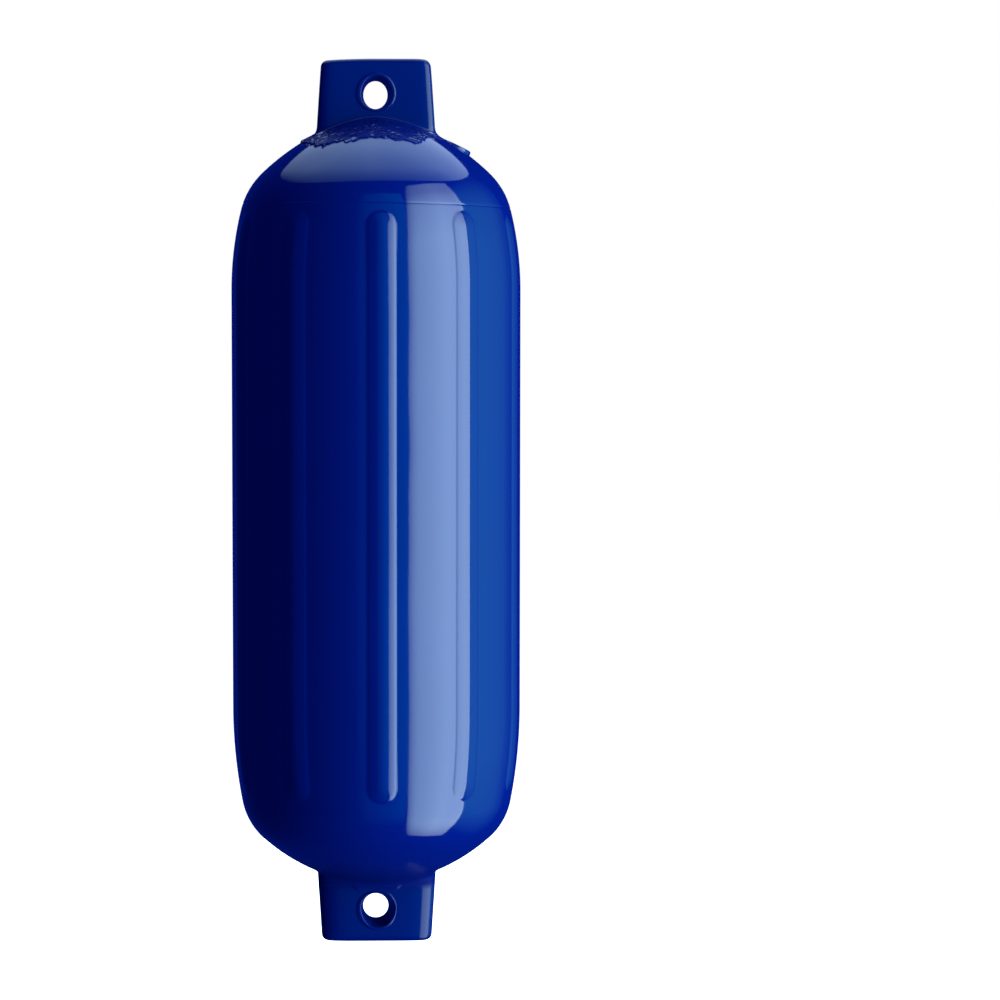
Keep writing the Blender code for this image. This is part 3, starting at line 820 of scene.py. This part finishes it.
# A screw thread: the radius falls by a rounded sawtooth of the height less the turn, in pitches
def helix(middle, span, depth, pitch):
    def fall(radius, height, angle):
        phase = (height / pitch + angle / math.tau) % 1.0
        wave = 0.5 - 0.5 * np.cos(math.tau * phase)
        wave = wave ** 1.4
        begun = easeBetween(span[0], span[0] + 0.8, height)
        inside = begun * (1.0 - easeBetween(span[1] - 0.8, span[1], height))
        near = np.abs(radius - middle) < 0.05
        return -depth * wave * inside * near
    return fall


# The straight part of a profile that carries a thread, with even rows from its top to its end
def threadedRows(radius, top, end):
    count = int(round(abs(top - end) / plug["pitch"] * rowsPerTurn))
    return [(radius, height) for height in np.linspace(top, end, count + 1)]


# The plug is one profile turned from the middle of its head to the bottom of its core hole
def buildPlug(material):
    head, shank, core = plug["head"] / 2, plug["shank"] / 2, plug["core"] / 2
    top = -plug["recess"]
    shoulder = top - plug["headLength"]
    end = shoulder - plug["shankLength"]
    soft = plug["edge"]
    profile = roundedProfile([
        (0.0, top, 0.0), (head, top, soft), (head, shoulder, soft), (shank, shoulder, plug["fillet"]),
        (shank, shoulder - 0.5, 0.0),
    ])
    threadTop, threadEnd = shoulder - plug["threadStops"][0], end + plug["threadStops"][1]
    profile += threadedRows(shank, threadTop, threadEnd)
    profile += roundedProfile([
        (shank, end + 0.65, 0.0), (shank, end, plug["endRound"]), (core, end, plug["coreRound"][0]),
        (core, end + plug["coreDepth"] - core, plug["coreRound"][1]), (0.0, end + plug["coreDepth"], 0.0),
    ])
    profile = np.array(profile)
    thread = helix(shank, (threadEnd, threadTop), plug["threadDepth"], plug["pitch"])
    rings = turnedRings(profile[1:-1], plug["steps"], thread)
    count = plug["steps"]
    ends = turnedRings(profile[[0, -1]], 1).reshape(-1, 3)
    points = np.concatenate([rings.reshape(-1, 3), ends])
    total = rings.shape[0] * count
    triangles = np.concatenate([
        fan(np.arange(count), total, inward=True),
        fan((rings.shape[0] - 1) * count + np.arange(count), total + 1),
    ])
    quads = gridQuads(rings.shape[0], count).reshape(-1, 4)[:, ::-1]
    piece = addPiece("valve_screw_plug", points, quads, triangles, material, 40.0)
    cutSlot(piece, top)
    return piece


# The plug's screwdriver slot, cut with a box
def cutSlot(piece, top):
    length, width, depth = plug["slot"]
    above = 5.0
    corners = []
    for u in (-length / 2, length / 2):
        for v in (-width / 2, width / 2):
            for w in (top - depth, top + above):
                corners.append((u, v, w))
    corners = np.array(corners)
    points = fromValve(corners[:, 1], corners[:, 0], corners[:, 2])
    faces = [(0, 1, 3, 2), (4, 6, 7, 5), (0, 4, 5, 1), (2, 3, 7, 6), (0, 2, 6, 4), (1, 5, 7, 3)]
    mesh = bpy.data.meshes.new("slot_box")
    mesh.from_pydata((points * toMetres).tolist(), [], faces)
    box = bpy.data.objects.new("slot_box", mesh)
    bpy.context.scene.collection.objects.link(box)
    cutter = piece.modifiers.new("slot", "BOOLEAN")
    cutter.operation = "DIFFERENCE"
    cutter.solver = "EXACT"
    cutter.object = box
    applyModifiers(piece)
    bpy.data.objects.remove(box, do_unlink=True)


# Puts the evaluated mesh in place of the piece's own
def applyModifiers(piece):
    graph = bpy.context.evaluated_depsgraph_get()
    mesh = bpy.data.meshes.new_from_object(piece.evaluated_get(graph))
    piece.modifiers.clear()
    piece.data = mesh


# The bush is one closed profile: over its rim, down its outside, round its collar and up its bore
def buildBush(material):
    outer, wide = bush["outer"] / 2, bush["collar"][0] / 2
    mouth, bore = bush["counterbore"] / 2, bush["bore"] / 2
    soft, long, floor = bush["edge"], -bush["length"], -bush["floor"]
    threadTop, threadEnd = floor - bush["threadStops"][0], long + bush["threadStops"][1]
    shoulder = long + bush["collar"][1]
    profile = roundedProfile([
        (mouth, -1.0, 0.0), (mouth, 0.0, soft), (outer, 0.0, 0.15), (outer, shoulder, 0.1),
        (wide, shoulder, bush["collarRound"][0]), (wide, long, bush["collarRound"][1]),
        (bore, long, 0.5), (bore, long + 0.8, 0.0),
    ])
    profile += threadedRows(bore, threadEnd, threadTop)
    step, corner = bush["stepBevel"], bush["stepCorner"]
    profile += [(bore, floor - step), (bore + step, floor), (mouth - corner, floor)]
    profile += [(mouth, floor + corner)] + [(mouth, height) for height in bush["mouthRows"]]
    deeper = helix(bore, (threadEnd, threadTop), -bush["threadDepth"], plug["pitch"])
    rings = turnedRings(profile, bush["steps"], deeper)
    rings = np.concatenate([rings, rings[:1]])
    quads = gridQuads(rings.shape[0], bush["steps"]).reshape(-1, 4)[:, ::-1]
    return addPiece("valve_bush", rings, quads, np.zeros((0, 3), int), material, 40.0)


# The finishes. Waves, grain and the torn skin's creases are raised by their depths in metres.
vinyl = {
    "waves": (9.0, 0.0009),
    "grainDepth": 0.00001,
    "colour": (0.0001, 0.0056, 0.108),
    "deepColour": (0.0001, 0.0048, 0.099),
    "roughness": 0.06,
    "tint": (0.56, 0.88, 1.0),
    "lugPaintedShade": 0.78,  # painted shade: the lugs' colour is darkened to this share of the skin's, and their gloss is lower
    "lugGloss": 0.23,
    "lugStart": (0.268, 0.296),  # metres from the middle between which the skin becomes the lug
    "tornDepth": 0.0008,
    "dullRoughness": 0.38,
}
plugPlastic = {
    "waves": (120.0, 0.0002),
    "grainDepth": 0.00003,
    "colour": (0.001, 0.055, 0.46),
    "deepColour": (0.001, 0.040, 0.38),
    "roughness": 0.34,
    "tint": (0.6, 0.8, 1.0),
    "lugPaintedShade": 1.0,
    "lugGloss": 0.5,
    "lugStart": (0.4, 0.5),
    "tornDepth": 0.0,
    "dullRoughness": 0.0,
}
noiseScale = {"cloud": 14.0, "polish": 60.0, "grain": 900.0}
creaseShine = {"from": (0.56, 0.64), "to": (1.0, -0.5)}
plainGloss = 0.5
polishRange = (0.8, 1.25)  # the roughness varies between these shares of it
refraction = 1.5


# One step of arithmetic in a shader, on two values that are each a number or another node's output
def combine(tree, operation, first, second):
    node = tree.nodes.new("ShaderNodeMath")
    node.operation = operation
    for slot, value in enumerate((first, second)):
        if isinstance(value, float):
            node.inputs[slot].default_value = value
        else:
            tree.links.new(value, node.inputs[slot])
    return node.outputs["Value"]


# Moulded plastic: cloudy colour, an uneven polish and a slow waviness of the surface
def mouldedPlastic(name, look):
    material = bpy.data.materials.new(name)
    material.use_nodes = True
    tree = material.node_tree
    nodes, links = tree.nodes, tree.links
    shader = nodes["Principled BSDF"]
    place = nodes.new("ShaderNodeTexCoord").outputs["Object"]

    def noise(scale, detail, vector=place):
        node = nodes.new("ShaderNodeTexNoise")
        node.inputs["Scale"].default_value = scale
        node.inputs["Detail"].default_value = detail
        links.new(vector, node.inputs["Vector"])
        return node.outputs["Fac"]

    def spread(value, source, result, kind="LINEAR"):
        node = nodes.new("ShaderNodeMapRange")
        node.interpolation_type = kind
        node.inputs["From Min"].default_value, node.inputs["From Max"].default_value = source
        node.inputs["To Min"].default_value, node.inputs["To Max"].default_value = result
        links.new(value, node.inputs["Value"])
        return node.outputs["Result"]

    def attribute(name):
        node = nodes.new("ShaderNodeAttribute")
        node.attribute_name = name
        return node.outputs

    mix = nodes.new("ShaderNodeMix")
    mix.data_type = "RGBA"
    mix.inputs["A"].default_value = (*look["deepColour"], 1.0)
    mix.inputs["B"].default_value = (*look["colour"], 1.0)
    links.new(noise(noiseScale["cloud"], 3.0), mix.inputs["Factor"])

    axes = nodes.new("ShaderNodeSeparateXYZ")
    links.new(place, axes.inputs["Vector"])
    height = combine(tree, "ABSOLUTE", axes.outputs["Z"], 0.0)

    # goes from one figure on the blown skin to another on the solid lugs
    def towardsLugs(skinValue, lugValue):
        return spread(height, look["lugStart"], (skinValue, lugValue), "SMOOTHSTEP")

    # painted shade: the colour is scaled down on the lugs, so they look less lit than the barrel
    shade = nodes.new("ShaderNodeVectorMath")
    shade.operation = "SCALE"
    links.new(mix.outputs["Result"], shade.inputs["Vector"])
    links.new(towardsLugs(1.0, look["lugPaintedShade"]), shade.inputs["Scale"])
    links.new(shade.outputs["Vector"], shader.inputs["Base Color"])

    # the mesh says where the gloss changes; the torn skin is dull but for bright wrinkles round the lug
    change = attribute("glossChange")["Fac"]
    wrinkle = noise(1.0, 1.0, attribute("tornPlace")["Vector"])
    keen = spread(wrinkle, creaseShine["from"], creaseShine["to"])
    duller = combine(tree, "MINIMUM", change, 0.0)
    brighter = combine(tree, "MAXIMUM", change, 0.0)
    dull = combine(tree, "MULTIPLY", duller, keen)
    share = combine(tree, "ADD", combine(tree, "ADD", dull, brighter), 1.0)
    level = combine(tree, "MULTIPLY", towardsLugs(plainGloss, look["lugGloss"]), share)
    links.new(level, shader.inputs["Specular IOR Level"])

    figures = [look["roughness"] * share for share in polishRange]
    polish = spread(noise(noiseScale["polish"], 4.0), (0.0, 1.0), figures)
    rough = combine(tree, "MULTIPLY", combine(tree, "MINIMUM", dull, 0.0), -look["dullRoughness"])
    links.new(combine(tree, "ADD", polish, rough), shader.inputs["Roughness"])

    raised = (
        (noise(look["waves"][0], 1.0), look["waves"][1]),
        (noise(noiseScale["grain"], 2.0), look["grainDepth"]),
        (combine(tree, "MULTIPLY", duller, wrinkle), look["tornDepth"]),
    )
    normal = None
    for relief, depth in raised:
        bump = nodes.new("ShaderNodeBump")
        bump.inputs["Strength"].default_value = 1.0
        bump.inputs["Distance"].default_value = depth
        links.new(relief, bump.inputs["Height"])
        if normal is not None:
            links.new(normal, bump.inputs["Normal"])
        normal = bump.outputs["Normal"]
    links.new(normal, shader.inputs["Normal"])

    shader.inputs["Specular Tint"].default_value = (*look["tint"], 1.0)
    shader.inputs["IOR"].default_value = refraction
    return material


# Floor, world and camera
studio = {
    "camera": (0.0, -3.2, 0.12),
    "focus": (0.0958, 0.0, 0.0006),
    "lens": 148.8,
    "sensor": 36.0,
    "floorHeight": -0.62,
    "floorSize": 30.0,
    "ambient": (0.001, 0.012, 0.24),
    "white": (1.0, 1.0, 1.0, 1.0),
    "floorPaint": (0.9, 0.9, 0.9, 1.0),
    "floorRoughness": 0.9,
    "clipEnd": 100.0,
}

# Each panel faces the fender's axis from an azimuth, its place in metres outwards, to the right and
# up. One without an azimuth faces down from its place in the frame. Its brightness across and up is
# given at shares of its size. A bow (b, c) shifts the share across: it is less by b times the square
# of the share up less c, so both ends lean to the side where the share grows.
even = ((0.0, 1.0),)
noBow = (0.0, 0.5)
panels = {
    "tallRight": {
        "azimuth": 49.5, "place": (2.2, 0.660, -0.55), "size": (3.3, 8.5),
        "colour": (1.0, 1.0, 1.0), "radiance": 8.3,
        "across": (
            (0.0, 0.0), (0.003, 0.34), (0.031, 0.46), (0.055, 0.6), (0.104, 0.74), (0.38, 1.0),
            (0.52, 0.91), (0.69, 0.84), (0.70, 0.0),
        ),
        "up": (
            (0.0, 0.0), (0.03, 0.42), (0.12, 0.55), (0.25, 0.85), (0.32, 1.0), (0.66, 1.0), (0.85, 0.38),
            (1.0, 0.3),
        ),
        "bow": (0.88, 0.565),
    },
    "wideRight": {
        "azimuth": 100.0, "place": (2.6, 0.46, 0.0), "size": (2.9, 6.0),
        "colour": (0.21, 1.0, 0.80), "radiance": 1.75,
        "across": ((0.0, 0.85), (0.22, 0.72), (0.52, 0.41), (0.8, 0.13), (1.0, 0.03)),
        "up": ((0.0, 0.0), (0.38, 1.0), (0.62, 1.0), (1.0, 0.0)),
    },
    "spill": {
        "azimuth": 5.0, "place": (3.4, 0.0, 0.0), "size": (2.6, 8.0),
        "colour": (0.0, 0.5, 1.0), "radiance": 1.3,
        "across": ((0.0, 0.06), (0.17, 0.3), (0.5, 0.5), (1.0, 1.0)), "up": ((0.0, 0.0), (0.38, 1.0)),
    },
    "behind": {
        "azimuth": 180.0, "place": (3.0, 0.0, 0.3), "size": (3.0, 4.0), "mirrored": False,
        "colour": (0.8, 0.9, 1.0), "radiance": 3.0,
        "across": ((0.0, 0.6), (0.5, 1.0), (1.0, 0.6)), "up": even,
    },
    "overhead": {
        "place": (-0.07, 1.0, 2.0), "size": (3.42, 3.42), "shape": "DISK",
        "colour": (0.57, 0.76, 1.0), "radiance": 2.42,
        "across": ((0.0, 0.02), (0.5, 0.94), (0.85, 0.75)), "up": ((0.0, 0.2), (0.4, 1.0)),
    },
}


# A soft panel that faces the fender. Its power is pi times its radiance times its area.
def addPanel(name, panel):
    width, height = panel["size"]
    light = bpy.data.lights.new(name, "AREA")
    light.shape = panel.get("shape", "RECTANGLE")
    light.size = width
    if light.shape == "RECTANGLE":
        light.size_y = height
    light.color = panel["colour"]
    light.energy = math.pi * panel["radiance"] * width * height
    light.use_nodes = True
    tree = light.node_tree
    nodes, links = tree.nodes, tree.links
    parts = nodes.new("ShaderNodeSeparateXYZ")
    links.new(nodes.new("ShaderNodeNewGeometry").outputs["Parametric"], parts.inputs["Vector"])
    strength = nodes.new("ShaderNodeMath")
    strength.operation = "MULTIPLY"
    leaning = parts.outputs["Y"]
    bow, bowPlace = panel.get("bow", noBow)
    for operation, value in (("SUBTRACT", bowPlace), ("POWER", 2.0), ("MULTIPLY", -bow)):
        leaning = combine(tree, operation, leaning, value)
    across = combine(tree, "ADD", parts.outputs["X"], leaning)
    runs = ((across, panel["across"]), (parts.outputs["Y"], panel["up"]))
    for slot, (share, run) in enumerate(runs):
        fade = nodes.new("ShaderNodeValToRGB")
        stops = fade.color_ramp.elements
        stops.remove(stops[1])
        stops[0].position, stops[0].color = run[0][0], (*[run[0][1]] * 3, 1.0)
        for position, level in run[1:]:
            stops.new(position).color = (level, level, level, 1.0)
        links.new(share, fade.inputs["Fac"])
        links.new(fade.outputs["Color"], strength.inputs[slot])
    links.new(strength.outputs["Value"], nodes["Emission"].inputs["Strength"])

    lamp = bpy.data.objects.new(name, light)
    bpy.context.scene.collection.objects.link(lamp)
    if "azimuth" in panel:
        turn = math.radians(panel["azimuth"])
        out = np.array([math.sin(turn), -math.cos(turn), 0.0])
        right = np.array([math.cos(turn), math.sin(turn), 0.0])
        away, aside, up = panel["place"]
        lamp.location = out * away + right * aside + np.array([0.0, 0.0, up])
        lamp.rotation_euler = lookRotation(-out)
    else:
        lamp.location = panel["place"]
    lamp.visible_camera = False
    lamp.visible_glossy = panel.get("mirrored", True)
    return lamp


# Turns a lamp or a camera, which look along their own -Z, to a direction
def lookRotation(forward):
    return Vector(forward).to_track_quat("-Z", "Y").to_euler()


# Panels, a world that is white to the camera and dim blue to the fender, the floor and the camera
def buildStudio():
    scene = bpy.context.scene
    scene.view_settings.view_transform = "Standard"
    for name, panel in panels.items():
        addPanel(name, panel)

    world = bpy.data.worlds.new("pale_world")
    scene.world = world
    world.use_nodes = True
    nodes, links = world.node_tree.nodes, world.node_tree.links
    plain = nodes["Background"]
    path = nodes.new("ShaderNodeLightPath")
    seen = nodes.new("ShaderNodeMix")
    seen.data_type = "RGBA"
    seen.inputs["A"].default_value = (*studio["ambient"], 1.0)
    seen.inputs["B"].default_value = studio["white"]
    links.new(path.outputs["Is Camera Ray"], seen.inputs["Factor"])
    links.new(seen.outputs["Result"], plain.inputs["Color"])

    half = studio["floorSize"] / 2
    mesh = bpy.data.meshes.new("floor")
    corners = [(-half, -half), (half, -half), (half, half), (-half, half)]
    mesh.from_pydata([(x, y, studio["floorHeight"]) for x, y in corners], [], [(0, 1, 2, 3)])
    floor = bpy.data.objects.new("floor", mesh)
    scene.collection.objects.link(floor)
    floor.visible_glossy = False
    floor.visible_shadow = False
    floor.visible_diffuse = False
    paint = bpy.data.materials.new("floor_paint")
    paint.use_nodes = True
    shader = paint.node_tree.nodes["Principled BSDF"]
    shader.inputs["Base Color"].default_value = studio["floorPaint"]
    shader.inputs["Roughness"].default_value = studio["floorRoughness"]
    shader.inputs["Specular IOR Level"].default_value = 0.0
    shader.inputs["Emission Color"].default_value = studio["white"]
    shader.inputs["Emission Strength"].default_value = 1.0
    mesh.materials.append(paint)

    lens = bpy.data.cameras.new("camera")
    lens.lens = studio["lens"]
    lens.sensor_width = studio["sensor"]
    lens.clip_end = studio["clipEnd"]
    camera = bpy.data.objects.new("camera", lens)
    scene.collection.objects.link(camera)
    camera.location = studio["camera"]
    camera.rotation_euler = lookRotation(np.array(studio["focus"]) - np.array(studio["camera"]))
    scene.camera = camera


vinylMaterial = mouldedPlastic("blue_vinyl_skin", vinyl)
plugMaterial = mouldedPlastic("blue_plug_moulding", plugPlastic)

fenderSkin = buildSkin(vinylMaterial)
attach(fenderSkin, "fender")
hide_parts("fender_body")

valveBush = buildBush(vinylMaterial)
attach(valveBush, "fender")
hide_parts("valve_seat")

screwPlug = buildPlug(plugMaterial)
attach(screwPlug, "plug")
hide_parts("valve_plug")
print("pieces placed")

buildStudio()
print("studio ready")
